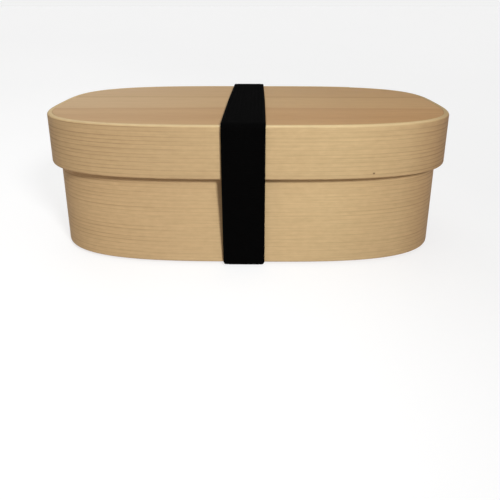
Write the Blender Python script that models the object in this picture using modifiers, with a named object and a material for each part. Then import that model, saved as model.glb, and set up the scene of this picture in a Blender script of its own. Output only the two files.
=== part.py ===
"""Oval bent-wood lunch box: a body and a deep lid, each a strip of cedar bent round a board and laced
with cherry bark, held shut by an elastic strap, with a loose two-board divider inside.

Frame: +X along the box, +Y towards its back, +Z up. The origin is on the surface that the box stands
on, under its centre. The strap passes under the body, so the strap's underside is at Z = 0.
Run it with: blender --background --python part.py
"""

import math

import bmesh
import bpy
from mathutils import Vector

MM = 0.001

# Box
LENGTH = 195 * MM  # over the lid
WIDTH = 108 * MM  # over the lid
BOX_HEIGHT = 65.7 * MM  # body's lower edge to the lid's top
LID_HEIGHT = 23.9 * MM
OVAL_POWER = 3.29  # 2 is an ellipse, and larger is squarer
LID_WALL = 2.4 * MM
BODY_WALL = 3.2 * MM
LID_CLEARANCE = 1.6 * MM  # between the lid's inside and the body's outside
BOARD = 5 * MM  # lid board and body floor
BOARD_EDGE = 0.4 * MM
FLOOR_RECESS = 1.5 * MM
GAP = 0.3 * MM  # between pieces that touch

# Bent strips, whose ends lap at the back. Distances run along the back from its middle, towards +X.
LAP_START = 16 * MM
LAP_LENGTH = 46 * MM
LAP_TIP = 0.5 * MM  # thickness left on a feathered end
LAP_GLUE = 0.2 * MM
LAP_SHOULDER = 0.3 * MM
LAP_SECTIONS = 6
STRIP_SECTIONS = 84
STRIP_EDGE = 0.7 * MM
LID_TOP_EDGE = 1.0 * MM  # outer top edge of the lid
EDGE_STEPS = 2

# Cherry-bark lacing through both plies of a lap
BODY_LACE_AT = 54 * MM
LID_LACE_AT = 42 * MM
BODY_STITCHES = 8
LID_STITCHES = 3
LACE_WIDTH = 4 * MM
LACE_THICKNESS = 0.5 * MM
LACE_PITCH = 3.0 * MM
LACE_TAIL = 1.3 * MM
SLIT_CLEARANCE = 0.25 * MM

# Divider: the cross board stands in a groove of the long board
DIVIDER_X = 22 * MM  # long board's middle
DIVIDER_HEIGHT = 34 * MM
DIVIDER_THICKNESS = 3.5 * MM
DIVIDER_EDGE = 0.6 * MM
LONG_BOARD_PLAY = 0.5 * MM  # at each end, to the body's walls
CROSS_BOARD_REACH = 56 * MM  # beyond the long board's face
GROOVE_DEPTH = 1.3 * MM

# Strap
STRAP_X = -1.2 * MM
STRAP_WIDTH = 19 * MM
STRAP_THICKNESS = 1.2 * MM
STRAP_CORNER = 1.6 * MM  # inner radius where it turns over an edge
STRAP_CORNER_STEPS = 5
STRAP_SPLIT = 22 * MM  # height where its lower half ends

# Heights
BODY_BOTTOM = STRAP_THICKNESS + GAP
LID_TOP = BODY_BOTTOM + BOX_HEIGHT
LID_BOTTOM = LID_TOP - LID_HEIGHT
LID_BOARD_BOTTOM = LID_TOP - BOARD
BODY_TOP = LID_BOARD_BOTTOM - GAP
FLOOR_BOTTOM = BODY_BOTTOM + FLOOR_RECESS
FLOOR_TOP = FLOOR_BOTTOM + BOARD
DIVIDER_BOTTOM = FLOOR_TOP + GAP

# Insets from the lid's outline
BODY_INSET = LID_WALL + LID_CLEARANCE
BODY_INSIDE = BODY_INSET + BODY_WALL

SMOOTH_ANGLE = math.radians(35)


# ---- Scene and objects ------------------------------------------------------------------------


def clear_scene():
    for obj in list(bpy.data.objects):
        bpy.data.objects.remove(obj, do_unlink=True)


def new_collection(name, hidden=False):
    collection = bpy.data.collections.new(name)
    bpy.context.scene.collection.children.link(collection)
    collection.hide_render = hidden
    return collection


def new_material(name, colour, roughness):
    material = bpy.data.materials.new(name)
    material.use_nodes = True
    shader = material.node_tree.nodes["Principled BSDF"]
    shader.inputs["Base Color"].default_value = (*colour, 1)
    shader.inputs["Roughness"].default_value = roughness
    shader.inputs["Metallic"].default_value = 0.0
    return material


def add_object(name, bm, collection, material=None):
    mesh = bpy.data.meshes.new(name)
    bm.to_mesh(mesh)
    bm.free()
    if material:
        mesh.materials.append(material)
    mesh.shade_smooth()
    mesh.set_sharp_from_angle(angle=SMOOTH_ANGLE)
    obj = bpy.data.objects.new(name, mesh)
    collection.objects.link(obj)
    return obj


def add_cutter(name, bm, collection):
    bmesh.ops.recalc_face_normals(bm, faces=bm.faces)
    obj = add_object(name, bm, collection)
    obj.hide_render = True
    obj.display_type = "WIRE"
    return obj


def cut(target, cutter):
    boolean = target.modifiers.new(cutter.name, "BOOLEAN")
    boolean.operation = "DIFFERENCE"
    boolean.object = cutter


def ribbon(name, path, width, thickness, offset, collection, material):
    """An open ribbon across X along a path of (y, z) points, thickened by Solidify."""
    bm = bmesh.new()
    rows = [[bm.verts.new((side * width / 2, y, z)) for side in (-1, 1)] for y, z in path]
    for (a, b), (d, c) in zip(rows, rows[1:]):
        bm.faces.new((a, b, c, d))
    obj = add_object(name, bm, collection, material)
    solidify = obj.modifiers.new("thickness", "SOLIDIFY")
    solidify.thickness = thickness
    solidify.offset = offset
    solidify.use_even_offset = True
    return obj


# ---- Oval outline -----------------------------------------------------------------------------


def signed_power(value, power):
    return math.copysign(abs(value) ** power, value)


def oval_point(angle, inset=0.0):
    """(point, outward normal) of the lid's outline at a parameter angle, moved in by inset."""
    a, b = LENGTH / 2, WIDTH / 2
    x = a * signed_power(math.cos(angle), 2 / OVAL_POWER)
    y = b * signed_power(math.sin(angle), 2 / OVAL_POWER)
    # The normal is the gradient of |x/a|^power + |y/b|^power.
    slope = OVAL_POWER - 1
    normal = Vector((signed_power(x / a, slope) / a, signed_power(y / b, slope) / b)).normalized()
    return Vector((x, y)) - normal * inset, normal


def oval_lengths(steps=2400):
    """(distance, angle) round the lid's outline, clockwise from the middle of the back."""
    rows = [(0.0, math.pi / 2)]
    before = oval_point(math.pi / 2)[0]
    for i in range(1, steps + 1):
        angle = math.pi / 2 - 2 * math.pi * i / steps
        point = oval_point(angle)[0]
        rows.append((rows[-1][0] + (point - before).length, angle))
        before = point
    return rows


OVAL = oval_lengths()
OVAL_LENGTH = OVAL[-1][0]


def oval_at(distance, inset=0.0):
    """(point, outward normal) at a distance along the outline from the middle of the back."""
    distance %= OVAL_LENGTH
    low, high = 0, len(OVAL) - 1
    while high - low > 1:
        middle = (low + high) // 2
        low, high = (middle, high) if OVAL[middle][0] <= distance else (low, middle)
    share = (distance - OVAL[low][0]) / (OVAL[high][0] - OVAL[low][0])
    return oval_point(OVAL[low][1] + share * (OVAL[high][1] - OVAL[low][1]), inset)


def oval_half_width(x, inset, steps=600):
    """Half the width of the inset outline at x."""
    quarter = [oval_point(math.pi / 2 * i / steps, inset)[0] for i in range(steps + 1)]
    return min(quarter, key=lambda point: abs(point.x - abs(x))).y


# ---- Bent strips ------------------------------------------------------------------------------


def strip_section(depth_out, depth_in, low, high, top_edge):
    """(depth, height) points round a strip's section. Depth runs inwards from its outer face."""
    roundest = 0.45 * (depth_in - depth_out)
    corners = [
        (depth_out, 1, low, 1, 180, STRIP_EDGE),
        (depth_in, -1, low, 1, 270, STRIP_EDGE),
        (depth_in, -1, high, -1, 0, STRIP_EDGE),
        (depth_out, 1, high, -1, 90, top_edge),
    ]
    points = []
    for depth, inwards, height, upwards, first, radius in corners:
        radius = min(radius, roundest)
        for i in range(EDGE_STEPS + 1):
            angle = math.radians(first + 90 * i / EDGE_STEPS)
            points.append((
                depth + radius * (inwards + math.cos(angle)),
                height + radius * (upwards + math.sin(angle)),
            ))
    return points


def strip_stations(wall):
    """(distance, depth of outer face, depth of inner face) along a strip. In the lap its first end
    lies inside and its last end outside, and both taper to a feathered tip."""
    ply = wall - LAP_TIP - LAP_GLUE
    taper = ply - LAP_TIP
    shares = [i / LAP_SECTIONS for i in range(LAP_SECTIONS + 1)]
    free_start = LAP_START + LAP_LENGTH + LAP_SHOULDER
    free = OVAL_LENGTH - LAP_LENGTH - 2 * LAP_SHOULDER
    inner = [(LAP_START + LAP_LENGTH * f, wall - LAP_TIP - taper * f, wall) for f in shares]
    single = [(free_start + free * i / STRIP_SECTIONS, 0.0, wall) for i in range(STRIP_SECTIONS + 1)]
    outer = [(LAP_START + OVAL_LENGTH + LAP_LENGTH * f, 0.0, ply - taper * f) for f in shares]
    return inner + single + outer


def bent_strip(name, inset, wall, low, high, top_edge, collection, material):
    """A loft through unlike sections along the oval. Its outer face is inset from the outline."""
    bm = bmesh.new()
    rings = []
    for distance, depth_out, depth_in in strip_stations(wall):
        ring = []
        for depth, height in strip_section(depth_out, depth_in, low, high, top_edge):
            point, _ = oval_at(distance, inset + depth)
            ring.append(bm.verts.new((point.x, point.y, height)))
        rings.append(ring)
    for ring, after in zip(rings, rings[1:]):
        for i, vert in enumerate(ring):
            j = (i + 1) % len(ring)
            bm.faces.new((vert, ring[j], after[j], after[i]))
    bm.faces.new(rings[0])
    bm.faces.new(rings[-1])
    bmesh.ops.recalc_face_normals(bm, faces=bm.faces)
    return add_object(name, bm, collection, material)


def lace_frame(name, at, inset, collection):
    """An empty on a strip's outer face where its lacing runs, with its Y pointing out of the wood."""
    point, normal = oval_at(at, inset)
    frame = bpy.data.objects.new(name, None)
    frame.location = (point.x, point.y, 0)
    frame.rotation_euler.z = math.atan2(normal.y, normal.x) - math.pi / 2
    collection.objects.link(frame)
    return frame


def lace_path(wall, first, slits):
    """(y, z) points of the lacing's middle line, which passes in and out through the slits."""
    outside = GAP + LACE_THICKNESS / 2
    inside = -wall - outside
    points = [(inside, first - LACE_TAIL)]
    for i in range(slits):
        z = first + i * LACE_PITCH
        through = [(inside, z), (outside, z)]
        points += through if i % 2 == 0 else through[::-1]
    points.append((inside, z + LACE_TAIL))
    return points


def lacing(strip, name, at, inset, wall, middle, stitches, parts, cutters, bark):
    """Lace a strip with one ribbon of bark, through slits cut in its wall."""
    slits = 2 * stitches
    first = middle - (slits - 1) * LACE_PITCH / 2
    frame = lace_frame(name + "_frame", at, inset, parts)
    lace = ribbon(
        name, lace_path(wall, first, slits), LACE_WIDTH, LACE_THICKNESS, 0, parts, bark
    )
    lace.parent = frame

    bm = bmesh.new()
    size = Vector((LACE_WIDTH + 2 * SLIT_CLEARANCE, 2 * wall, LACE_THICKNESS + 2 * SLIT_CLEARANCE))
    for i in range(slits):
        box = bmesh.ops.create_cube(bm, size=1.0)["verts"]
        bmesh.ops.scale(bm, vec=size, verts=box)
        bmesh.ops.translate(bm, vec=(0, -wall / 2, first + i * LACE_PITCH), verts=box)
    slit_cutter = add_cutter(name + "_slits", bm, cutters)
    slit_cutter.parent = frame
    cut(strip, slit_cutter)


# ---- Boards -----------------------------------------------------------------------------------


def oval_board(name, inset, low, collection, material, points=96):
    """A flat board that fills an inset outline."""
    bm = bmesh.new()
    outline = [oval_at(-OVAL_LENGTH * i / points, inset)[0] for i in range(points)]
    face = bm.faces.new([bm.verts.new((point.x, point.y, low)) for point in outline])
    pulled = bmesh.ops.extrude_face_region(bm, geom=[face])["geom"]
    top = [item for item in pulled if isinstance(item, bmesh.types.BMVert)]
    bmesh.ops.translate(bm, vec=(0, 0, BOARD), verts=top)
    bmesh.ops.recalc_face_normals(bm, faces=bm.faces)
    board = add_object(name, bm, collection, material)
    edges = board.modifiers.new("edges", "BEVEL")
    edges.width = BOARD_EDGE
    edges.segments = 1
    edges.limit_method = "ANGLE"


def box(size):
    bm = bmesh.new()
    bmesh.ops.create_cube(bm, size=1.0)
    bmesh.ops.scale(bm, vec=size, verts=bm.verts)
    return bm


def divider_board(name, size, centre, collection, material):
    board = add_object(name, box(size), collection, material)
    board.location = centre
    edges = board.modifiers.new("edges", "BEVEL")
    edges.width = DIVIDER_EDGE
    edges.segments = 2
    return board


def divider(parts, cutters, material):
    """The long board stands across the box, and the cross board slides down into its groove."""
    middle = DIVIDER_BOTTOM + DIVIDER_HEIGHT / 2
    face = DIVIDER_X + DIVIDER_THICKNESS / 2
    length = 2 * (oval_half_width(DIVIDER_X, BODY_INSIDE) - LONG_BOARD_PLAY)
    long_board = divider_board(
        "divider_long_board", (DIVIDER_THICKNESS, length, DIVIDER_HEIGHT),
        (DIVIDER_X, 0, middle), parts, material,
    )
    groove = add_cutter(
        "groove", box((2 * GROOVE_DEPTH, DIVIDER_THICKNESS + 2 * GAP, 2 * DIVIDER_HEIGHT)), cutters
    )
    groove.location = (face, 0, middle)
    cut(long_board, groove)

    tongue = GROOVE_DEPTH - GAP
    divider_board(
        "divider_cross_board", (CROSS_BOARD_REACH + tongue, DIVIDER_THICKNESS, DIVIDER_HEIGHT),
        (face + (CROSS_BOARD_REACH - tongue) / 2, 0, middle), parts, material,
    )


# ---- Strap ------------------------------------------------------------------------------------


def corner(y, z, first, last):
    """(y, z) points of the strap's inner face round a corner centre, with angles in degrees."""
    points = []
    for i in range(STRAP_CORNER_STEPS + 1):
        angle = math.radians(first + (last - first) * i / STRAP_CORNER_STEPS)
        points.append((y + STRAP_CORNER * math.cos(angle), z + STRAP_CORNER * math.sin(angle)))
    return points


def strap_half(name, front, outwards, collection, material):
    """Half of the strap's loop. The front leg's path is mirrored to the back leg."""
    back = [(-y, z) for y, z in reversed(front)]
    half = ribbon(name, front + back, STRAP_WIDTH, STRAP_THICKNESS, outwards, collection, material)
    half.location.x = STRAP_X


def strap(collection, material):
    """The elastic loop, in two halves that part where it stretches. It is taut from the lid's lower
    edge to the body's lower edge, so it stands clear of the body between them."""
    lid_y = WIDTH / 2 + GAP
    body_y = WIDTH / 2 - BODY_INSET + GAP
    low, high = BODY_BOTTOM - GAP + STRAP_CORNER, LID_TOP + GAP - STRAP_CORNER
    lean = (lid_y - body_y) / (LID_BOTTOM - low)

    def leg_y(z):
        return -body_y - lean * (z - low)

    lower = [(leg_y(STRAP_SPLIT), STRAP_SPLIT)]
    lower += corner(-body_y + STRAP_CORNER, low, 180, 270)
    upper = [(leg_y(STRAP_SPLIT + GAP), STRAP_SPLIT + GAP), (-lid_y, LID_BOTTOM)]
    upper += corner(-lid_y + STRAP_CORNER, high, 180, 90)
    strap_half("strap_lower_half", lower, -1, collection, material)
    strap_half("strap_upper_half", upper, 1, collection, material)


# ---- Build ------------------------------------------------------------------------------------


def main():
    clear_scene()
    parts = new_collection("bento_lunch_box")
    cutters = new_collection("cutters", hidden=True)
    band_wood = new_material("band_wood", (0.60, 0.43, 0.24), 0.55)
    board_wood = new_material("board_wood", (0.52, 0.34, 0.19), 0.55)
    divider_wood = new_material("divider_wood", (0.62, 0.44, 0.20), 0.5)
    bark = new_material("cherry_bark", (0.16, 0.05, 0.03), 0.35)
    elastic = new_material("elastic", (0.01, 0.01, 0.012), 0.9)

    body_band = bent_strip(
        "body_band", BODY_INSET, BODY_WALL, BODY_BOTTOM, BODY_TOP, STRIP_EDGE, parts, band_wood
    )
    lacing(
        body_band, "body_lacing", BODY_LACE_AT, BODY_INSET, BODY_WALL, (FLOOR_TOP + BODY_TOP) / 2,
        BODY_STITCHES, parts, cutters, bark,
    )
    oval_board("body_floor", BODY_INSIDE + GAP, FLOOR_BOTTOM, parts, board_wood)

    lid_band = bent_strip(
        "lid_band", 0.0, LID_WALL, LID_BOTTOM, LID_TOP, LID_TOP_EDGE, parts, band_wood
    )
    lacing(
        lid_band, "lid_lacing", LID_LACE_AT, 0.0, LID_WALL, (LID_BOTTOM + LID_BOARD_BOTTOM) / 2,
        LID_STITCHES, parts, cutters, bark,
    )
    oval_board("lid_board", LID_WALL + GAP, LID_BOARD_BOTTOM, parts, board_wood)

    divider(parts, cutters, divider_wood)
    strap(parts, elastic)


main()
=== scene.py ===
"""Looks of the oval bent-wood lunch box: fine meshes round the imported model, and procedural materials.

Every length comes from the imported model's boxes or from a named value here. Each piece carries a vertex
attribute, grain, that gives each point's place along, across and into its wood or its weave, in metres.
The materials read their growth rings, fibres and yarn from it.
"""

import math

import bmesh
import bpy
from mathutils import Matrix, Vector


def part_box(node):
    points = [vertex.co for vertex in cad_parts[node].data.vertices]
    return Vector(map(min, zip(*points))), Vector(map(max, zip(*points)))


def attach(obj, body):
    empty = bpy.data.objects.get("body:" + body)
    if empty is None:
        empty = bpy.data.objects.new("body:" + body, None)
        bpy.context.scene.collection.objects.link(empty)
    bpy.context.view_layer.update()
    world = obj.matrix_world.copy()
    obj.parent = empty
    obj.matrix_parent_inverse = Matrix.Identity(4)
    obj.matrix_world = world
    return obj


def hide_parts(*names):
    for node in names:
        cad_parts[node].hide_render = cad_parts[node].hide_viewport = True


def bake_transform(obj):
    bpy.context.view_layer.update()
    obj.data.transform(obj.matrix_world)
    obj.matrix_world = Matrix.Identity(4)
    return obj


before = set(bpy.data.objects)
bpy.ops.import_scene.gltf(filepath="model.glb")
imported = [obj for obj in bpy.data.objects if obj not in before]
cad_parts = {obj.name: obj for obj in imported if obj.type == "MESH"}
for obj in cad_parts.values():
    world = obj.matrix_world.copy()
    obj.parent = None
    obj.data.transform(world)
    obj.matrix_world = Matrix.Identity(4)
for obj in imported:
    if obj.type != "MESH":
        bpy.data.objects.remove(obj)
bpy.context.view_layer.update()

MM = 0.001
GAP = 0.3 * MM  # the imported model's clearance between pieces that touch
JOINT = 0.06 * MM  # the hairline left between pieces that fit tightly

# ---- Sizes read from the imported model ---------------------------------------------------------

LID_LOW, LID_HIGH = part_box("lid_band")
BODY_LOW, BODY_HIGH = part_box("body_band")
LID_BOARD_LOW, LID_BOARD_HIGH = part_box("lid_board")
FLOOR_LOW, FLOOR_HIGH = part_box("body_floor")
STRAP_LOW, STRAP_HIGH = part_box("strap_upper_half")
STRAP_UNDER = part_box("strap_lower_half")[0].z
LONG_LOW, LONG_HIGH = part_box("divider_long_board")
CROSS_LOW, CROSS_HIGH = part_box("divider_cross_board")

HALF_LENGTH, HALF_WIDTH = LID_HIGH.x, LID_HIGH.y
OVAL_POWER = 3.29  # 2 is an ellipse, and larger is squarer
LID_WALL = LID_HIGH.x - LID_BOARD_HIGH.x - GAP
BODY_INSET = LID_HIGH.x - BODY_HIGH.x
BODY_WALL = BODY_HIGH.x - FLOOR_HIGH.x - GAP
STRAP_MIDDLE = (STRAP_LOW.x + STRAP_HIGH.x) / 2
STRAP_THICKNESS = BODY_LOW.z - GAP - STRAP_UNDER

# ---- Laps and lacing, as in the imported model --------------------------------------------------

# The first four are measured along the lid's outline, clockwise from the middle of the back.
LAP_START = 16 * MM
LAP_LENGTH = 46 * MM
BODY_LACE_AT = 54 * MM
LID_LACE_AT = 42 * MM
BODY_STITCHES = 8
LID_STITCHES = 3
LACE_PITCH = 3.0 * MM
LACE_WIDTH = 4 * MM
LACE_THICKNESS = 0.5 * MM
LACE_TAIL = 1.3 * MM  # how far each end runs on along the inside


# ---- Mesh helpers -----------------------------------------------------------------------------


def add_mesh(name, bm, grain=None, sharp=35):
    """Make an object from a bmesh. grain is a list of one vector for each vertex, and sharp is the angle
    in degrees past which an edge isn't smoothed."""
    mesh = bpy.data.meshes.new(name)
    bmesh.ops.recalc_face_normals(bm, faces=bm.faces)
    bm.to_mesh(mesh)
    bm.free()
    if grain:
        store_grain(mesh, grain)
    mesh.shade_smooth()
    mesh.set_sharp_from_angle(angle=math.radians(sharp))
    obj = bpy.data.objects.new(name, mesh)
    bpy.context.scene.collection.objects.link(obj)
    return obj


def store_grain(mesh, grain):
    """Keep one vector for each vertex as the attribute that the materials read."""
    attribute = mesh.attributes.new("grain", "FLOAT_VECTOR", "POINT")
    attribute.data.foreach_set("vector", [part for point in grain for part in point])


def finish_piece(obj, material, body, slot, *nodes):
    """Give a piece its material and the body that it rides, and hide the nodes that it replaces. slot is
    not used.
    """
    obj.data.materials.append(material)
    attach(obj, body)
    if nodes:
        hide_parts(*nodes)


def skin(bm, rings, closed=False):
    """Quads between neighbouring rings of vertices, and a face over each end unless they close."""
    pairs = list(zip(rings, rings[1:]))
    if closed:
        pairs.append((rings[-1], rings[0]))
    for ring, after in pairs:
        for i, vert in enumerate(ring):
            j = (i + 1) % len(ring)
            bm.faces.new((vert, ring[j], after[j], after[i]))
    if not closed:
        bm.faces.new(rings[0])
        bm.faces.new(rings[-1])


def arc(centre, radius, first, last, steps):
    """Points round an arc, with angles in degrees."""
    angles = [math.radians(first + (last - first) * i / steps) for i in range(steps + 1)]
    return [(centre[0] + radius * math.cos(a), centre[1] + radius * math.sin(a)) for a in angles]


# ---- Oval outline -----------------------------------------------------------------------------


def signed_power(value, power):
    """A power that keeps the value's sign."""
    return math.copysign(abs(value) ** power, value)


def oval_point(angle, inset=0.0):
    """(point, outward normal) of the lid's outline at a parameter angle, moved in by inset."""
    x = HALF_LENGTH * signed_power(math.cos(angle), 2 / OVAL_POWER)
    y = HALF_WIDTH * signed_power(math.sin(angle), 2 / OVAL_POWER)
    slope = OVAL_POWER - 1
    normal = Vector((
        signed_power(x / HALF_LENGTH, slope) / HALF_LENGTH,
        signed_power(y / HALF_WIDTH, slope) / HALF_WIDTH,
    )).normalized()
    return Vector((x, y)) - normal * inset, normal


def oval_lengths(steps=4800):
    """(distance, angle) round the lid's outline, clockwise from the middle of the back."""
    rows = [(0.0, math.pi / 2)]
    before = oval_point(math.pi / 2)[0]
    for i in range(1, steps + 1):
        angle = math.pi / 2 - 2 * math.pi * i / steps
        point = oval_point(angle)[0]
        rows.append((rows[-1][0] + (point - before).length, angle))
        before = point
    return rows


OVAL = oval_lengths()
OVAL_LENGTH = OVAL[-1][0]


def oval_at(distance, inset=0.0):
    """(point, outward normal) at a distance along the outline from the middle of the back."""
    distance %= OVAL_LENGTH
    low, high = 0, len(OVAL) - 1
    while high - low > 1:
        middle = (low + high) // 2
        low, high = (middle, high) if OVAL[middle][0] <= distance else (low, middle)
    share = (distance - OVAL[low][0]) / (OVAL[high][0] - OVAL[low][0])
    return oval_point(OVAL[low][1] + share * (OVAL[high][1] - OVAL[low][1]), inset)


# ---- Bent strips ------------------------------------------------------------------------------

LAP_TIP = 0.3 * MM  # thickness of a strip's tapered ends
LAP_GLUE = 0.02 * MM  # between the two plies of a lap
LAP_SHOULDER = 0.12 * MM  # run of the step where a lap ends
LAP_SECTIONS = 20
STRIP_SECTIONS = 300
EDGE_STEPS = 5
EDGE_SUPPORT = 0.35 * MM  # flat kept next to a rounded edge
EDGE_SHARE = 0.45  # the most of a strip's thickness that an edge's radius takes
END_ROWS = 4  # rows of faces below the lowest slit, and above the highest
COLUMN_CLEARANCE = 0.01  # the share of the lap kept free of other stations beside the slits
SLIT_WIDTH = LACE_WIDTH + 0.3 * MM
SLIT_HEIGHT = LACE_THICKNESS + 0.3 * MM


def wall_heights(low, high, slits):
    """Heights of the rows up a wall: both edges of each slit, and even steps below and above them."""
    marks = [z + side * SLIT_HEIGHT / 2 for z in slits for side in (-1, 1)]
    below = [low + (marks[0] - low) * i / END_ROWS for i in range(END_ROWS)]
    above = [marks[-1] + (high - marks[-1]) * i / END_ROWS for i in range(1, END_ROWS + 1)]
    return below + marks + above


def strip_section(depth_out, depth_in, low, high, edges, slits):
    """(depth, height) points round a strip's section, which end with its outer wall, and where its inner
    wall starts among them. edges are the radii at outer bottom, inner bottom, inner top and outer top."""
    roundest = EDGE_SHARE * (depth_in - depth_out)
    outer_low, inner_low, inner_high, outer_high = [min(radius, roundest) for radius in edges]
    inner_rows = wall_heights(low + inner_low + EDGE_SUPPORT, high - inner_high - EDGE_SUPPORT, slits)
    outer_rows = wall_heights(low + outer_low + EDGE_SUPPORT, high - outer_high - EDGE_SUPPORT, slits)
    points = arc((depth_out + outer_low, low + outer_low), outer_low, 180, 270, EDGE_STEPS)
    points += arc((depth_in - inner_low, low + inner_low), inner_low, 270, 360, EDGE_STEPS)
    inner_start = len(points)
    points += [(depth_in, z) for z in inner_rows]
    points += arc((depth_in - inner_high, high - inner_high), inner_high, 0, 90, EDGE_STEPS)
    points += arc((depth_out + outer_high, high - outer_high), outer_high, 90, 180, EDGE_STEPS)
    points += [(depth_out, z) for z in reversed(outer_rows)]
    return points, inner_start


def strip_stations(wall, lace_at):
    """(distance, depth of outer face, depth of inner face, whether the slits start here) along a strip,
    whose first end tapers inside the lap and whose last end tapers outside it."""
    ply = wall - LAP_TIP - LAP_GLUE
    taper = ply - LAP_TIP
    shares = [i / LAP_SECTIONS for i in range(LAP_SECTIONS + 1)]
    column = [(lace_at + side * SLIT_WIDTH / 2 - LAP_START) / LAP_LENGTH for side in (-1, 1)]
    low, high = column[0] - COLUMN_CLEARANCE, column[1] + COLUMN_CLEARANCE
    shares = sorted([share for share in shares if share < low or share > high] + column)
    free_start = LAP_START + LAP_LENGTH + LAP_SHOULDER
    free = OVAL_LENGTH - LAP_LENGTH - 2 * LAP_SHOULDER
    rows = []
    for share in shares:
        outer = wall - LAP_TIP - taper * share
        rows.append((LAP_START + LAP_LENGTH * share, outer, wall, share == column[0]))
    for i in range(STRIP_SECTIONS + 1):
        rows.append((free_start + free * i / STRIP_SECTIONS, 0.0, wall, False))
    for share in shares:
        inner = ply - taper * share
        rows.append((LAP_START + OVAL_LENGTH + LAP_LENGTH * share, 0.0, inner, share == column[0]))
    return rows


def bent_strip(name, inset, wall, low, high, edges, lace_at, slits):
    """A strip of wood bent round the oval, with its ends lapped and slits through the lap."""
    bm = bmesh.new()
    rings, grain, columns = [], [], []
    for distance, depth_out, depth_in, slits_start in strip_stations(wall, lace_at):
        section, inner_start = strip_section(depth_out, depth_in, low, high, edges, slits)
        ring = []
        for depth, height in section:
            point, _ = oval_at(distance, inset + depth)
            ring.append(bm.verts.new((point.x, point.y, height)))
            grain.append((distance, height, depth))
        if slits_start:
            columns.append(len(rings))
        rings.append(ring)
    holes = slit_rows(len(slits), inner_start, len(rings[0]))
    strip_faces(bm, rings, columns, holes)
    return add_mesh(name, bm, grain)


def strip_faces(bm, rings, columns, holes):
    """A strip's faces, with its walls opened and each opening lined where the slits are."""
    walls = {row for pair in holes for row in pair}
    for at, (ring, after) in enumerate(zip(rings, rings[1:])):
        for i, vert in enumerate(ring):
            if at in columns and i in walls:
                continue
            j = (i + 1) % len(ring)
            bm.faces.new((vert, ring[j], after[j], after[i]))
    for at in columns:
        for inner, outer in holes:
            line_slit(bm, rings[at], rings[at + 1], inner, outer)
    bm.faces.new(rings[0])
    bm.faces.new(rings[-1])


def slit_rows(count, inner_start, total):
    """(row of the inner wall, row of the outer wall) that each slit opens."""
    first, last = inner_start + END_ROWS, total - 2 - END_ROWS
    return [(first + 2 * k, last - 2 * k) for k in range(count)]


def line_slit(bm, ring, after, inner, outer):
    """The four sides of a slit, between the wall's inner and outer faces."""
    inside = [ring[inner], ring[inner + 1], after[inner + 1], after[inner]]
    outside = [ring[outer + 1], ring[outer], after[outer], after[outer + 1]]
    for i in range(4):
        j = (i + 1) % 4
        bm.faces.new((inside[i], inside[j], outside[j], outside[i]))


# ---- Oval boards ------------------------------------------------------------------------------

BOARD_POINTS = 288
BOARD_EDGE_STEPS = 4


def oval_board(name, inset, low, high, edge):
    """A flat board that fills an inset outline, with small rounded edges."""
    profile = [(EDGE_SUPPORT + edge, low)]
    profile += arc((edge, low + edge), edge, -90, -180, BOARD_EDGE_STEPS)
    profile += arc((edge, high - edge), edge, 180, 90, BOARD_EDGE_STEPS)
    profile += [(EDGE_SUPPORT + edge, high)]
    distances = [OVAL_LENGTH * i / BOARD_POINTS for i in range(BOARD_POINTS)]
    bm = bmesh.new()
    rings = []
    for depth, z in profile:
        ring = [oval_at(distance, inset + depth)[0] for distance in distances]
        rings.append([bm.verts.new((point.x, point.y, z)) for point in ring])
    skin(bm, rings)
    grain = [tuple(vert.co) for vert in bm.verts]
    return add_mesh(name, bm, grain)


# ---- Bark lacing ------------------------------------------------------------------------------

LACE_PROUD = 0.12 * MM  # how far a stitch stands off the wall
LACE_EDGE = 0.32 * LACE_THICKNESS  # half of the ribbon's thickness at its edges


def soften(path, rounds=2):
    """Cut a path's corners round."""
    for _ in range(rounds):
        cut = [path[0]]
        for a, b in zip(path, path[1:]):
            cut += [a.lerp(b, 0.25), a.lerp(b, 0.75)]
        path = cut + [path[-1]]
    return path


def lace_heights(low, high, stitches):
    """Heights of the slits, evenly spaced about the middle: two for each stitch."""
    slits = 2 * stitches
    first = (low + high - (slits - 1) * LACE_PITCH) / 2
    return [first + i * LACE_PITCH for i in range(slits)]


def lace_path(wall, slits):
    """The ribbon's middle line, as (distance out from the wall's outer face, height): out through one
    slit and in through the next."""
    outside = LACE_PROUD + LACE_THICKNESS / 2
    inside = -wall - outside
    path = [Vector((inside, slits[0] - LACE_TAIL))]
    for i, z in enumerate(slits):
        through = [Vector((inside, z)), Vector((outside, z))]
        path += through if i % 2 == 0 else through[::-1]
    path.append(Vector((inside, slits[-1] + LACE_TAIL)))
    return soften(path)


def bark_lacing(name, at, inset, wall, slits):
    """One ribbon of bark that runs in and out through the slits, thin at its edges. at is the slits'
    distance along the outline."""
    path = lace_path(wall, slits)
    bm = bmesh.new()
    rings, grain, run = [], [], 0.0
    for i, point in enumerate(path):
        before, after = path[max(i - 1, 0)], path[min(i + 1, len(path) - 1)]
        run += (point - before).length
        across = (after - before).normalized().orthogonal()
        ring = []
        for x, thick in bark_section():
            place = point + across * thick
            ring.append(bm.verts.new((x, place.x, place.y)))
            grain.append((x, run, thick))
        rings.append(ring)
    skin(bm, rings)
    lace = add_mesh(name, bm, grain, sharp=50)
    point, normal = oval_at(at, inset)
    turn = math.atan2(normal.y, normal.x) - math.pi / 2
    lace.data.transform(Matrix.Translation((point.x, point.y, 0)) @ Matrix.Rotation(turn, 4, "Z"))
    return lace


def bark_section(steps=8):
    """(across, thickness) points round the ribbon: a flat lens with square edges."""
    crown = LACE_THICKNESS / 2 - LACE_EDGE
    top = []
    for i in range(steps + 1):
        share = 2 * i / steps - 1
        top.append((share * LACE_WIDTH / 2, LACE_EDGE + crown * (1 - share * share)))
    return top + [(x, -thick) for x, thick in reversed(top)]


# ---- Divider ----------------------------------------------------------------------------------

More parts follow.
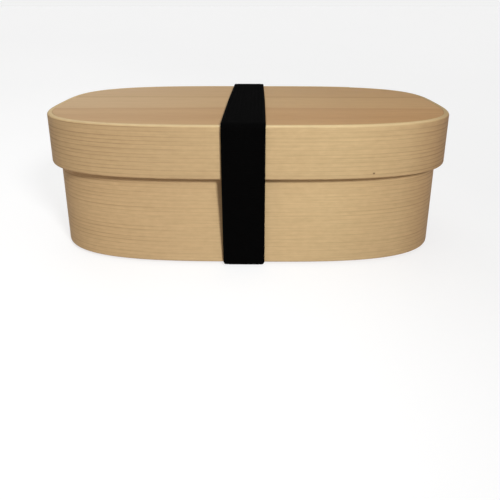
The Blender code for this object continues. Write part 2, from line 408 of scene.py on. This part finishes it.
DIVIDER_EDGE = 0.9 * MM
DIVIDER_EDGE_STEPS = 4
GROOVE_SIDE = 0.12 * MM  # clearance on each side of the cross board


def divider_piece(name, outline, low, high, along, grooved=()):
    """A board pulled up from its plan outline, with its edges eased except round its groove. along is
    the grain's axis, and grooved lists the outline's corners that belong to the groove."""
    bm = bmesh.new()
    lower = [bm.verts.new((x, y, low)) for x, y in outline]
    upper = [bm.verts.new((x, y, high)) for x, y in outline]
    skin(bm, [lower, upper])
    plain = {ring[i] for ring in (lower, upper) for i in grooved}
    eased = [edge for edge in bm.edges if not plain.issuperset(edge.verts)]
    bmesh.ops.bevel(
        bm, geom=eased, offset=DIVIDER_EDGE, segments=DIVIDER_EDGE_STEPS, profile=0.5, affect="EDGES",
        clamp_overlap=True,
    )
    other = 1 - along
    grain = [(vert.co[along], vert.co.z, vert.co[other]) for vert in bm.verts]
    return add_mesh(name, bm, grain)


def rectangle(low, high):
    """A box's plan."""
    return [(low.x, low.y), (high.x, low.y), (high.x, high.y), (low.x, high.y)]


LONG_BOARD_GROOVE = (2, 3, 4, 5)  # its corners in long_board_outline


def long_board_outline():
    """The long board's plan, with the groove for the cross board in its +X face."""
    groove_x = CROSS_LOW.x - JOINT
    half = CROSS_HIGH.y + GROOVE_SIDE
    return [
        (LONG_LOW.x, LONG_LOW.y), (LONG_HIGH.x, LONG_LOW.y), (LONG_HIGH.x, -half), (groove_x, -half),
        (groove_x, half), (LONG_HIGH.x, half), (LONG_HIGH.x, LONG_HIGH.y), (LONG_LOW.x, LONG_HIGH.y),
    ]


# ---- Strap ------------------------------------------------------------------------------------

RIB_PITCH = 0.95 * MM
RIB_STEPS = 4
RIB_HEIGHT = 0.13 * MM
STRAP_HALF = (STRAP_HIGH.x - STRAP_LOW.x) / 2
STRAP_CORNER = 1.6 * MM
STRAP_CORNER_STEPS = 10
STRAP_MEETS_LID = 0.6 * MM  # above the lid's lower edge
INNER_RIB = 0.04 * MM  # height of the ribs on the inner face
SELVAGE = (0.8, 0.5, 0.2)  # places down each edge, as shares of the thickness
SCALLOP = 0.22 * MM  # how far the edges draw in between ribs
EYELET_INSET = 1.7 * MM  # from each edge to its row of small loops
EYELET_DEPTH = 0.22 * MM
EYELET_REACH = 0.1 * MM
CORDED_EDGE = 1.2 * MM  # width of the finer ribs along each edge
EDGE_COLUMNS = (0.35, 0.8, 1.25, EYELET_INSET / MM, 2.15, 2.7)  # columns of vertices, mm from each edge
COLUMN_STEP = 0.9  # mm between the columns further in
COLUMN_COUNT = 6  # columns further in, on each side of the middle one
WEAVE_LEAN = 0.075  # the share of a rib by which the columns are ahead of it and behind it by turns
STRAP_SKEW = 1.0 * MM  # how much nearer +X the strap lies at the back than at the front
STRAP_NECK = 1.3 * MM  # how far each edge draws in where the strap turns under the box
STRAP_TAPER = 0.06  # the share of its width that the strap loses from its middle to the back
SEAM_LOW, SEAM_HIGH = LID_LOW.z + 3 * MM, LID_LOW.z + 14 * MM  # the sewn overlap, at the back
SEAM_MARGIN = 2 * MM  # from the overlap's ends to its rows of stitches
STITCH_PITCH = 1.9 * MM
STITCH_RADII = (0.7 * MM, 0.14 * MM, 0.2 * MM)
STITCH_SUNK = 0.02 * MM


def strap_path():
    """The strap's inner face as even_loop's rows, from the middle of the underside, up the front, where
    it leans out to the lid, and down the back."""
    lid_y, body_y = HALF_WIDTH + GAP, BODY_HIGH.y + GAP
    low, high = BODY_LOW.z - GAP + STRAP_CORNER, LID_HIGH.z + GAP - STRAP_CORNER
    front = [(0.0, low - STRAP_CORNER)]
    front += arc((-body_y + STRAP_CORNER, low), STRAP_CORNER, 270, 184, STRAP_CORNER_STEPS)
    front += [(-lid_y, LID_LOW.z + STRAP_MEETS_LID)]
    front += arc((-lid_y + STRAP_CORNER, high), STRAP_CORNER, 180, 90, STRAP_CORNER_STEPS)
    front += [(0.0, high + STRAP_CORNER)]
    loop = front + [(-y, z) for y, z in reversed(front[1:-1])]
    return even_loop([Vector(point) for point in loop])


def even_loop(corners):
    """(point, outward normal, run) at even steps round a closed path in the (y, z) plane."""
    closed = corners + [corners[0]]
    spans = [(b - a).length for a, b in zip(closed, closed[1:])]
    count = RIB_STEPS * round(sum(spans) / RIB_PITCH)
    step = sum(spans) / count
    points, leg, start = [], 0, 0.0
    for i in range(count):
        at = i * step
        while at > start + spans[leg]:
            start += spans[leg]
            leg += 1
        points.append(closed[leg].lerp(closed[leg + 1], (at - start) / spans[leg]))
    rows = []
    for i, point in enumerate(points):
        way = (points[(i + 1) % count] - points[i - 1]).normalized()
        rows.append((point, Vector((-way.y, way.x)), i * step))
    return rows


def strap_columns():
    """Places across the strap, as distances from its middle: closer together at both edges."""
    insets = list(EDGE_COLUMNS)
    insets += [EDGE_COLUMNS[-1] + i * COLUMN_STEP for i in range(1, COLUMN_COUNT + 1)]
    right = [STRAP_HALF - inset * MM for inset in insets]
    return [-x for x in right] + [0.0] + right[::-1]


def rib(run, shift=0.0):
    """1 on top of a rib and 0 between two. shift is a share of a rib."""
    return 0.5 + 0.5 * math.cos(2 * math.pi * (run / RIB_PITCH + shift))


def strap_height(x, run):
    """How far the weave stands out of the strap's plain outer face."""
    inset = STRAP_HALF - abs(x)
    if inset < CORDED_EDGE:
        return RIB_HEIGHT * 0.5 * rib(run, 0.5)
    if abs(inset - EYELET_INSET) < EYELET_REACH:
        return -EYELET_DEPTH * (1 - rib(run))
    lean = WEAVE_LEAN if round(x / (COLUMN_STEP * MM)) % 2 else -WEAVE_LEAN
    return RIB_HEIGHT * rib(run, lean)


def strap_neck(normal):
    """The share of its width that the strap keeps: less where it lies under the box."""
    turned = 1 - abs(normal.x) if normal.y < 0 else 0.0
    return 1 - turned * STRAP_NECK / STRAP_HALF


def strap_x(x, y):
    """Where a place across the strap lies along the box, for a place y across the box."""
    x *= 1 - STRAP_TAPER * min(max(y / HALF_WIDTH, 0), 1)
    return STRAP_MIDDLE + x + STRAP_SKEW * (y + HALF_WIDTH) / (2 * HALF_WIDTH)


def strap_section(run, columns):
    """(place across, height off the inner face) points round the elastic's section."""
    thickness = STRAP_THICKNESS - RIB_HEIGHT
    edge = STRAP_HALF - SCALLOP * (1 - rib(run, 0.5))
    section = [(x, thickness + strap_height(x, run)) for x in columns]
    section += [(edge, thickness * share) for share in SELVAGE]
    section += [(x, INNER_RIB * rib(2 * run)) for x in reversed(columns[::3])]
    section += [(-edge, thickness * share) for share in reversed(SELVAGE)]
    return section


def weave(name, rows, closed):
    """A length of the elastic, ribbed on its outer face and scalloped at its edges."""
    bm = bmesh.new()
    rings, grain = [], []
    columns = strap_columns()
    for point, normal, run in rows:
        ring = []
        for x, out in strap_section(run, columns):
            place = point + normal * out
            across = strap_x(x * strap_neck(normal), place.x)
            ring.append(bm.verts.new((across, place.x, place.y)))
            grain.append((run, x, out))
        rings.append(ring)
    skin(bm, rings, closed=closed)
    return add_mesh(name, bm, grain, sharp=80)


def strap_overlap(rows):
    """The end of the elastic, sewn down over its start."""
    seam = [row for row in rows if row[0].x > 0 and SEAM_LOW < row[0].y < SEAM_HIGH]
    raised = [(point + normal * STRAP_THICKNESS, normal, run) for point, normal, run in seam]
    return weave("strap_overlap", raised, closed=False)


def seam_thread():
    """Two rows of stitches across the overlap."""
    bm = bmesh.new()
    y = HALF_WIDTH + GAP + 2 * STRAP_THICKNESS - STITCH_SUNK
    across = int(STRAP_HALF / STITCH_PITCH) - 1
    size = Matrix.Diagonal((*STITCH_RADII, 1))
    for z in (SEAM_LOW + SEAM_MARGIN, SEAM_HIGH - SEAM_MARGIN):
        for i in range(-across, across + 1):
            place = Matrix.Translation((strap_x(i * STITCH_PITCH, y), y, z))
            bmesh.ops.create_uvsphere(bm, u_segments=10, v_segments=6, radius=1, matrix=place @ size)
    return add_mesh("strap_thread", bm, [tuple(vert.co) for vert in bm.verts])


# ---- Procedural materials ---------------------------------------------------------------------


class Nodes:
    """A short way to write a node tree. Values may be numbers, colours or sockets."""

    def __init__(self, owner):
        owner.use_nodes = True
        self.tree = owner.node_tree

    def set(self, socket, value):
        """Link a socket to another, or give it a value. A colour has three parts."""
        if isinstance(value, bpy.types.NodeSocket):
            self.tree.links.new(value, socket)
        elif hasattr(socket.default_value, "__len__") and len(socket.default_value) == 4:
            socket.default_value = (*value, 1)
        else:
            socket.default_value = value

    def node(self, kind, inputs, **settings):
        """A new node with its inputs, by name or number, and its settings."""
        node = self.tree.nodes.new(kind)
        for key, value in settings.items():
            setattr(node, key, value)
        for key, value in inputs.items():
            self.set(node.inputs[key], value)
        return node

    def math(self, operation, first, second=0.0, clamp=False):
        node = self.node("ShaderNodeMath", {0: first, 1: second}, operation=operation, use_clamp=clamp)
        return node.outputs[0]

    def vector(self, operation, first, second):
        node = self.node("ShaderNodeVectorMath", {0: first, 1: second}, operation=operation)
        return node.outputs[0]

    def scaled(self, vector, scale):
        return self.vector("MULTIPLY", vector, scale)

    def noise(self, vector, detail=2.0, roughness=0.5):
        inputs = {"Vector": vector, "Scale": 1.0, "Detail": detail, "Roughness": roughness}
        return self.node("ShaderNodeTexNoise", inputs).outputs[0]

    def ramp(self, factor, stops):
        """A colour or a grey for each place in stops, and straight lines between them."""
        node = self.node("ShaderNodeValToRGB", {0: factor})
        elements = node.color_ramp.elements
        while len(elements) < len(stops):
            elements.new(0.5)
        for element, (place, value) in zip(elements, stops):
            element.position = place
            element.color = (*value, 1) if hasattr(value, "__len__") else (value, value, value, 1)
        return node.outputs[0]

    def mix(self, factor, first, second, blend="MIX"):
        inputs = {0: factor, 6: first, 7: second}
        node = self.node("ShaderNodeMix", inputs, data_type="RGBA", blend_type=blend)
        return node.outputs[2]

    def tinted(self, colour, tint):
        return self.mix(1.0, colour, tint, blend="MULTIPLY")

    def bump(self, height, distance, strength):
        inputs = {"Height": height, "Distance": distance, "Strength": strength}
        return self.node("ShaderNodeBump", inputs).outputs[0]

    def split(self, vector):
        return self.node("ShaderNodeSeparateXYZ", {0: vector}).outputs


class Shader(Nodes):
    """A material and its nodes."""

    def __init__(self, name):
        self.material = bpy.data.materials.new(name)
        super().__init__(self.material)
        self.surface = self.tree.nodes["Principled BSDF"]

    def grain(self):
        """The grain attribute in millimetres."""
        attribute = self.node("ShaderNodeAttribute", {}, attribute_name="grain")
        return self.scaled(attribute.outputs["Vector"], (1000, 1000, 1000))

    def done(self, colour, roughness, normal=None, **fixed):
        """The finished material. fixed names more of the surface's inputs, with _ for a space."""
        self.set(self.surface.inputs["Base Color"], colour)
        self.set(self.surface.inputs["Roughness"], roughness)
        if normal:
            self.set(self.surface.inputs["Normal"], normal)
        for name, value in fixed.items():
            self.set(self.surface.inputs[name.replace("_", " ")], value)
        return self.material


# How dark the wood is from the start of a growth ring to its end.
LATE_WOOD = ((0.0, 0.4), (0.05, 0.0), (0.6, 0.03), (0.87, 0.25), (0.95, 1.0), (1.0, 0.4))


def growth_rings(s, mm, spacing, lean, wobble, seed, widening=0.0):
    """0 in the pale early wood of each ring, rising to 1 in its dark late wood, then dropping. Lengths
    are in millimetres. lean is the rings' slope into the wood, and wobble is how far they wander.
    widening sets them further apart below zero and closer above it."""
    _, across, depth = s.split(mm)
    moved = s.vector("ADD", mm, (seed * 97, seed * 13, seed * 5))
    wave = s.math("SUBTRACT", s.noise(s.scaled(moved, (0.004, 0.04, 0.04)), detail=1.0), 0.5)
    uneven = s.math("SUBTRACT", s.noise(s.scaled(moved, (0.0015, 0.35, 0.1))), 0.5)
    place = s.math("ADD", across, s.math("MULTIPLY", depth, lean))
    place = s.math("ADD", place, s.math("MULTIPLY", wave, wobble))
    place = s.math("ADD", place, s.math("MULTIPLY", uneven, spacing * 1.1))
    number = s.math("DIVIDE", place, spacing)
    if widening:
        number = s.math("ADD", number, s.math("MULTIPLY", s.math("MULTIPLY", place, place), widening))
    ring = s.ramp(s.math("FRACT", number), LATE_WOOD)
    own = s.noise(s.scaled(moved, (0.004, 0.9 / spacing, 0.1)), detail=1.0)
    return s.math("MULTIPLY", ring, s.ramp(own, [(0.35, 0.45), (0.65, 1.0)]))


def fibres(s, mm):
    """Fine streaks along the grain, around 0.5."""
    fine = s.noise(s.scaled(mm, (0.15, 4.0, 4.0)), detail=3.0, roughness=0.6)
    broad = s.noise(s.scaled(mm, (0.04, 1.4, 1.4)), detail=2.0)
    return s.math("ADD", s.math("MULTIPLY", fine, 0.45), s.math("MULTIPLY", broad, 0.55))


def streaked(s, colour, streaks, spread, dark, light):
    """The colour, dark and light by turns with the fibres."""
    return s.tinted(colour, s.ramp(streaks, [(0.5 - spread, dark), (0.5, 1.0), (0.5 + spread, light)]))


def wood_relief(s, rings, ring_share, streaks, streak_share, height, strength):
    """A surface normal that stands up with the rings and the fibres."""
    rise = s.math("MULTIPLY", rings, ring_share)
    relief = s.math("ADD", rise, s.math("MULTIPLY", streaks, streak_share))
    return s.bump(relief, height, strength)


def end_grain(s, axis):
    """1 on faces that cut across a grain that runs along an axis of the object."""
    normal = s.split(s.node("ShaderNodeTexCoord", {}).outputs["Normal"])[axis]
    return s.ramp(s.math("ABSOLUTE", normal), [(0.55, 0.0), (0.85, 1.0)])


# From the left end of a span about the box's middle to its right end: painted shade over the wood, a
# little over its left half and most at its right end, the strength of its lines, and how strong the
# painted highlight on its upper edge is.
BAND_SPAN = 200 * MM
# painted shade: a little darker over the left half, much darker at the right end
BAND_PAINTED_SHADE = (
    (0.0, (0.94, 0.92, 0.90)),
    (0.16, (0.94, 0.92, 0.92)),
    (0.34, (0.905, 0.90, 0.915)),
    (0.7, (0.985, 1.01, 1.02)),
    (0.85, (0.96, 0.95, 0.94)),
    (0.92, (0.82, 0.75, 0.71)),
    (0.98, (0.56, 0.44, 0.37)),
)
BAND_LINES = ((0.0, 0.9), (0.2, 1.0), (0.36, 0.38), (0.64, 0.36), (0.85, 0.7), (0.97, 1.3))
# how strong the painted highlight on the upper edge is: weaker at the left end
RIM_HIGHLIGHT_STRENGTH = ((0.0, 0.4), (0.25, 1.0))
BAND_COLOURS = ((0.640, 0.468, 0.248), (0.590, 0.421, 0.219))
LINE_TINT = (0.40, 0.31, 0.23)
# colour of the painted highlight on the upper edge
RIM_HIGHLIGHT_COLOUR = (0.665, 0.51, 0.275)
CLOUD_TINTS = ((0.3, (0.955, 0.945, 0.94)), (0.7, (1.04, 1.045, 1.05)))
KNOT_COLOUR = (0.12, 0.07, 0.03)


def band_wood(seed, tone, lines, knot=None):
    """Straight-grained cedar: fine level lines round the box, plainer in the middle of its sides. Painted
    shade darkens it a little over the left half of the box and most at the right end, and a painted
    highlight lightens its upper edge. tone and lines are how bright it is and how strong its lines are.
    knot is the place of a pin knot along and up the strip, in millimetres."""
    s = Shader("band_wood_%d" % seed)
    mm = s.grain()
    place = s.node("ShaderNodeTexCoord", {}).outputs
    share = s.math("ADD", s.math("MULTIPLY", s.split(place["Object"])[0], 1 / BAND_SPAN), 0.5)
    # painted shade along the box, darkest at the right end
    painted_shade = s.ramp(share, BAND_PAINTED_SHADE)
    rings = growth_rings(s, mm, spacing=1.9, lean=0.35, wobble=1.4, seed=seed)
    streaks = fibres(s, mm)
    patch = s.noise(s.scaled(mm, (0.012, 0.05, 0.05)), detail=2.0)
    first, second = [[tone * part for part in colour] for colour in BAND_COLOURS]
    colour = s.tinted(s.mix(patch, first, second), painted_shade)
    shown = s.math("MULTIPLY", rings, s.ramp(share, BAND_LINES))
    strength = s.math("MULTIPLY", shown, s.math("ADD", patch, 0.3))
    line = s.tinted(colour, LINE_TINT)
    colour = s.mix(s.math("MULTIPLY", strength, lines, clamp=True), colour, line)
    # painted highlight on the upper edge
    colour = painted_rim_highlight(s, colour, share, painted_shade, s.split(place["Normal"])[2])
    colour = streaked(s, colour, streaks, 0.2, 0.90, 1.07)
    clouds = s.noise(s.scaled(mm, (0.22, 0.45, 0.45)), detail=3.0, roughness=0.6)
    colour = s.tinted(colour, s.ramp(clouds, CLOUD_TINTS))
    if knot:
        colour = pin_knot(s, colour, mm, knot)
    normal = wood_relief(s, rings, 0.3, streaks, 0.5, 0.03 * MM, 0.5)
    roughness = s.ramp(streaks, [(0.2, 0.66), (0.8, 0.54)])
    return s.done(colour, roughness, normal, Specular_IOR_Level=0.15)


def painted_rim_highlight(s, colour, share, painted_shade, upward):
    """The colour with a painted highlight where the strip's edge turns upward, dimmed by the painted
    shade.
    """
    pale = s.mix(0.5, RIM_HIGHLIGHT_COLOUR, painted_shade, blend="MULTIPLY")
    amount = s.math("MULTIPLY", s.ramp(upward, [(0.55, 0.0), (0.8, 1.0)]), s.ramp(share, RIM_HIGHLIGHT_STRENGTH))
    return s.mix(amount, colour, pale)


def pin_knot(s, colour, mm, knot):
    """The colour, with a small dark spot that is a little longer than high."""
    offset = s.scaled(s.vector("SUBTRACT", mm, (*knot, 0)), (0.8, 1.0, 0.3))
    away = s.node("ShaderNodeVectorMath", {0: offset}, operation="LENGTH").outputs["Value"]
    return s.mix(s.ramp(away, [(0.25, 0.85), (0.55, 0.0)]), colour, KNOT_COLOUR)


BOARD_SPAN = 110.0  # the millimetres across the board that its stripes cover
BOARD_STRIPES = (
    (0.0, (0.49, 0.298, 0.141)),
    (0.16, (0.455, 0.267, 0.121)),
    (0.27, (0.485, 0.293, 0.137)),
    (0.345, (0.455, 0.267, 0.122)),
    (0.36, (0.51, 0.325, 0.160)),
    (0.60, (0.525, 0.338, 0.167)),
    (0.625, (0.455, 0.282, 0.130)),
    (0.655, (0.515, 0.326, 0.160)),
    (1.0, (0.51, 0.324, 0.162)),
)
BOARD_LENGTH_SPAN = 200.0  # the millimetres along the board that its painted sheen covers
# painted sheen: lighter and bluer at the left end, lighter again at the right end
BOARD_PAINTED_SHEEN = (
    (0.05, (1.12, 1.20, 1.32)),
    (0.5, (1.01, 1.03, 1.04)),
    (0.75, (1.01, 1.0, 0.98)),
    (0.95, (1.14, 1.11, 1.08)),
)
BOARD_LINE = (0.33, 0.18, 0.085)


def board_wood(seed):
    """Flat-sawn cedar: broad lengthwise stripes, browner and redder towards the front, with painted sheen
    that makes it lighter and bluer at its left end and lighter at its right end.
    """
    s = Shader("board_wood_%d" % seed)
    mm = s.grain()
    along, across, depth = s.split(mm)
    drift = s.math("SUBTRACT", s.noise(s.scaled(mm, (0.008, 0.02, 0.02))), 0.5)
    place = s.math("ADD", across, s.math("MULTIPLY", drift, 7.0))
    place = s.math("ADD", place, s.math("MULTIPLY", depth, 0.5 * seed))
    stripes = s.ramp(s.math("ADD", s.math("DIVIDE", place, BOARD_SPAN), 0.5), BOARD_STRIPES)
    # painted sheen along the board
    painted_sheen = s.ramp(s.math("ADD", s.math("DIVIDE", along, BOARD_LENGTH_SPAN), 0.5), BOARD_PAINTED_SHEEN)
    stripes = s.tinted(stripes, painted_sheen)
    rings = growth_rings(s, mm, spacing=5.5, lean=0.9, wobble=9.0, seed=seed + 3)
    streaks = fibres(s, mm)
    colour = s.mix(s.math("MULTIPLY", rings, 0.14), stripes, BOARD_LINE)
    colour = streaked(s, colour, streaks, 0.25, 0.86, 1.08)
    normal = wood_relief(s, rings, 0.5, streaks, 0.8, 0.04 * MM, 0.6)
    roughness = s.ramp(streaks, [(0.2, 0.60), (0.8, 0.48)])
    return s.done(colour, roughness, normal, Specular_IOR_Level=0.14)


RING_DATUM = 42  # the height in millimetres for which spacing holds, at the divider's top


def divider_wood(name, face, end, spacing, widening, faint, axis):
    """Straight-grained cedar whose lines are close at the top, where faint is their strength, and wide
    apart at the bottom. face and end are the pale and dark colours of its faces and its end grain, and
    axis is the object's axis that its grain follows."""
    s = Shader(name)
    grain = s.grain()
    mm = s.vector("ADD", grain, (0, -RING_DATUM, 0))
    rings = growth_rings(s, mm, spacing=spacing, lean=0.25, wobble=2.0, seed=7, widening=widening)
    height = s.math("DIVIDE", s.split(grain)[1], LONG_HIGH.z / MM)
    strength = s.math("MULTIPLY", rings, s.ramp(height, [(0.4, 1.0), (0.6, faint)]))
    streaks = fibres(s, mm)
    colour = s.mix(s.math("MULTIPLY", strength, 0.85), *face)
    colour = s.mix(end_grain(s, axis), colour, s.mix(strength, *end))
    colour = streaked(s, colour, streaks, 0.25, 0.88, 1.07)
    normal = wood_relief(s, rings, 0.8, streaks, 0.8, 0.05 * MM, 0.7)
    return s.done(colour, 0.55, normal)


def cherry_bark():
    """Dark red polished bark, with streaks and paler pores across the ribbon."""
    s = Shader("cherry_bark")
    mm = s.grain()
    streaks = s.noise(s.scaled(mm, (0.5, 6.0, 1.0)), detail=3.0)
    pores = s.ramp(s.noise(s.scaled(mm, (1.1, 4.0, 1.0)), detail=1.0), [(0.62, 0.0), (0.7, 1.0)])
    colour = s.ramp(streaks, [(0.3, (0.075, 0.014, 0.007)), (0.7, (0.20, 0.048, 0.020))])
    colour = s.mix(s.math("MULTIPLY", pores, 0.6), colour, (0.32, 0.15, 0.08))
    normal = s.bump(s.math("ADD", streaks, pores), 0.04 * MM, 0.6)
    return s.done(colour, 0.38, normal, Coat_Weight=0.15, Coat_Roughness=0.25)


def elastic(name, roughness):
    """Matte black woven elastic with a soft nap."""
    s = Shader(name)
    mm = s.grain()
    yarn = s.noise(s.scaled(mm, (3.0, 3.0, 3.0)), detail=4.0, roughness=0.7)
    nap = s.noise(s.scaled(mm, (0.25, 0.25, 0.25)), detail=2.0)
    colour = s.ramp(yarn, [(0.3, 0.001), (0.6, 0.002), (0.8, 0.005)])
    colour = s.mix(nap, colour, s.tinted(colour, (0.7, 0.7, 0.75)))
    normal = s.bump(yarn, 0.12 * MM, 0.8)
    sheen = {"Sheen_Weight": 0.004, "Sheen_Roughness": 0.5, "Specular_IOR_Level": 0.015}
    return s.done(colour, roughness, normal, **sheen)


def paper():
    """A pale floor that glows, so that only a faint shadow shows on it."""
    s = Shader("paper_floor")
    coordinates = s.node("ShaderNodeTexCoord", {}).outputs["Object"]
    mottle = s.noise(s.scaled(coordinates, (3.0, 3.0, 3.0)))
    colour = s.ramp(mottle, [(0.3, 0.29), (0.7, 0.31)])
    glow = {"Emission_Color": (1, 1, 1), "Emission_Strength": 0.72}
    return s.done(colour, 0.9, Specular_IOR_Level=0.1, **glow)


# ---- Pieces -----------------------------------------------------------------------------------

# Radii of each band's edges: outer bottom, inner bottom, inner top and outer top.
BODY_EDGES = (0.9 * MM, 0.5 * MM, 0.8 * MM, 0.8 * MM)
LID_EDGES = (0.8 * MM, 0.6 * MM, 0.15 * MM, 1.0 * MM)
FLOOR_EDGE = 0.35 * MM
LID_BOARD_EDGE = 0.12 * MM
KNOT_ASIDE = 55.5  # mm towards +X from the middle of the lid's front
KNOT_UP = 2.4  # mm above the lid's lower edge


def make_body():
    slits = lace_heights(FLOOR_HIGH.z, BODY_HIGH.z, BODY_STITCHES)
    band = bent_strip(
        "bent_body", BODY_INSET, BODY_WALL, BODY_LOW.z, BODY_HIGH.z, BODY_EDGES, BODY_LACE_AT, slits
    )
    finish_piece(band, band_wood(1, tone=1.055, lines=0.74), "body", "band_wood", "body_band")
    floor = oval_board(
        "floor_board", BODY_INSET + BODY_WALL + JOINT, FLOOR_LOW.z, FLOOR_HIGH.z, FLOOR_EDGE
    )
    finish_piece(floor, board_wood(2), "body", "board_wood", "body_floor")
    lace = bark_lacing("body_bark", BODY_LACE_AT, BODY_INSET, BODY_WALL, slits)
    finish_piece(lace, cherry_bark(), "body", "cherry_bark", "body_lacing")


def make_lid():
    slits = lace_heights(LID_LOW.z, LID_BOARD_LOW.z, LID_STITCHES)
    band = bent_strip(
        "bent_lid", 0.0, LID_WALL, LID_LOW.z, LID_HIGH.z, LID_EDGES, LID_LACE_AT, slits
    )
    knot = (OVAL_LENGTH / 2 / MM - KNOT_ASIDE, LID_LOW.z / MM + KNOT_UP)
    finish_piece(band, band_wood(2, tone=0.98, lines=1.0, knot=knot), "lid", "band_wood", "lid_band")
    board = oval_board(
        "lid_top_board", LID_WALL + JOINT, LID_BOARD_LOW.z, LID_BOARD_HIGH.z, LID_BOARD_EDGE
    )
    finish_piece(board, board_wood(0), "lid", "board_wood", "lid_board")
    lace = bark_lacing("lid_bark", LID_LACE_AT, 0.0, LID_WALL, slits)
    finish_piece(lace, cherry_bark(), "lid", "cherry_bark", "lid_lacing")


def make_divider():
    long_board = divider_piece(
        "long_board", long_board_outline(), LONG_LOW.z, LONG_HIGH.z, along=1, grooved=LONG_BOARD_GROOVE
    )
    wood = divider_wood(
        "long_board_wood",
        face=((0.67, 0.52, 0.24), (0.35, 0.185, 0.05)),
        end=((0.42, 0.22, 0.10), (0.17, 0.06, 0.03)),
        spacing=1.25,
        widening=0.006,
        faint=0.75,
        axis=1,
    )
    finish_piece(long_board, wood, "divider", "divider_wood", "divider_long_board")
    cross_board = divider_piece(
        "cross_board", rectangle(CROSS_LOW, CROSS_HIGH), CROSS_LOW.z, CROSS_HIGH.z, along=0
    )
    wood = divider_wood(
        "cross_board_wood",
        face=((0.53, 0.34, 0.13), (0.25, 0.11, 0.027)),
        end=((0.56, 0.34, 0.14), (0.24, 0.09, 0.03)),
        spacing=1.5,
        widening=0.0048,
        faint=0.35,
        axis=0,
    )
    finish_piece(cross_board, wood, "cross_board", "divider_wood", "divider_cross_board")


def make_strap():
    cloth = elastic("black_elastic", 0.95)
    rows = strap_path()
    strap = weave("elastic_strap", rows, closed=True)
    strap.data.materials.append(cloth)
    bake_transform(strap)
    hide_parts("strap_lower_half", "strap_upper_half")
    finish_piece(strap_overlap(rows), cloth, "strap_upper", "elastic")
    finish_piece(seam_thread(), elastic("black_thread", 0.6), "strap_upper", "elastic")


# ---- Stage ------------------------------------------------------------------------------------

LIGHT_CENTRE = Vector((0, 0, 0.04))
SUN_DISTANCE = 2.0
KEY_DISTANCE = 0.75
KEY_AIM = (-0.15, 0, 0.055)  # past the box's left end, so that its right end is dimmer
KEY_CONE = {"spot_size": math.radians(40), "spot_blend": 0.6, "shadow_soft_size": 0.07}
FLOOR_HALF = 60.0  # metres from the floor's middle to its edges
CAMERA_AT = (0.00413, -0.25407, 0.1152)
CAMERA_TURN = (math.radians(72.59), 0, math.radians(0.703))  # as in the photo
CAMERA_LENS = 35.5
CAMERA_SHIFT = -0.18


def add_light(kind, name, azimuth, elevation, distance, aim=LIGHT_CENTRE, shine=True, **settings):
    """A light that looks at a point from where azimuth and elevation, in degrees, put it round the box.
    One without shine isn't seen in glossy surfaces."""
    turn, rise = math.radians(azimuth), math.radians(elevation)
    way = Vector((math.sin(turn) * math.cos(rise), -math.cos(turn) * math.cos(rise), math.sin(rise)))
    light = bpy.data.lights.new(name, kind)
    for key, value in settings.items():
        setattr(light, key, value)
    obj = bpy.data.objects.new(name, light)
    obj.location = LIGHT_CENTRE + way * distance
    obj.rotation_euler = (obj.location - Vector(aim)).to_track_quat("Z", "Y").to_euler()
    obj.visible_glossy = shine
    bpy.context.scene.collection.objects.link(obj)


def add_sun(name, azimuth, elevation, energy, spread, shine=True):
    """A distant light whose disc is spread degrees wide."""
    angle = math.radians(spread)
    add_light("SUN", name, azimuth, elevation, SUN_DISTANCE, shine=shine, energy=energy, angle=angle)


HORIZON_LIGHT = 0.885
SKY_LIGHT = 0.08
SKY_FADE = (0.03, 0.16)  # the heights between which the horizon's light turns into the sky's
FLOOR_LINE = -0.02  # the height below which the floor's light begins
FLOOR_LIGHT = (0.40, 0.30, 0.235)
FLOOR_LIGHT_SLOPE = 0.5  # the share by which it is stronger from the left


def make_world():
    """Almost white at the horizon, so that the floor has no visible end, and dim above. Below it is the
    light that a floor gives back, stronger from the left."""
    world = bpy.data.worlds.new("studio")
    bpy.context.scene.world = world
    w = Nodes(world)
    x, _, z = w.split(w.node("ShaderNodeTexCoord", {}).outputs["Generated"])
    above = w.ramp(z, list(zip(SKY_FADE, (HORIZON_LIGHT, SKY_LIGHT))))
    below = w.scaled(FLOOR_LIGHT, w.math("SUBTRACT", 1.0, w.math("MULTIPLY", x, FLOOR_LIGHT_SLOPE)))
    colour = w.mix(w.math("GREATER_THAN", z, FLOOR_LINE), below, above)
    w.set(w.tree.nodes["Background"].inputs["Color"], colour)


def make_stage():
    """The floor, the world's light and the lamps."""
    bm = bmesh.new()
    bmesh.ops.create_grid(bm, x_segments=1, y_segments=1, size=FLOOR_HALF)
    floor = add_mesh("floor", bm)
    floor.data.materials.append(paper())
    floor.visible_diffuse = False  # the world below the horizon stands for the light it gives back
    make_world()
    add_light("SPOT", "key", 24, 31, KEY_DISTANCE, KEY_AIM, energy=18.5, **KEY_CONE)
    add_sun("top", azimuth=0, elevation=88, energy=1.02, spread=70)
    add_sun("back", azimuth=-160, elevation=40, energy=0.55, spread=40)
    add_sun("rear", azimuth=172, elevation=6, energy=0.75, spread=15, shine=False)


def make_camera():
    camera = bpy.data.cameras.new("camera")
    camera.lens = CAMERA_LENS
    camera.sensor_width = 36.0
    camera.shift_y = CAMERA_SHIFT
    obj = bpy.data.objects.new("camera", camera)
    obj.location = CAMERA_AT
    obj.rotation_euler = CAMERA_TURN
    bpy.context.scene.collection.objects.link(obj)
    bpy.context.scene.camera = obj


def main():
    bpy.context.scene.view_settings.view_transform = "Standard"
    make_camera()
    make_stage()
    make_body()
    make_lid()
    make_divider()
    make_strap()


main()
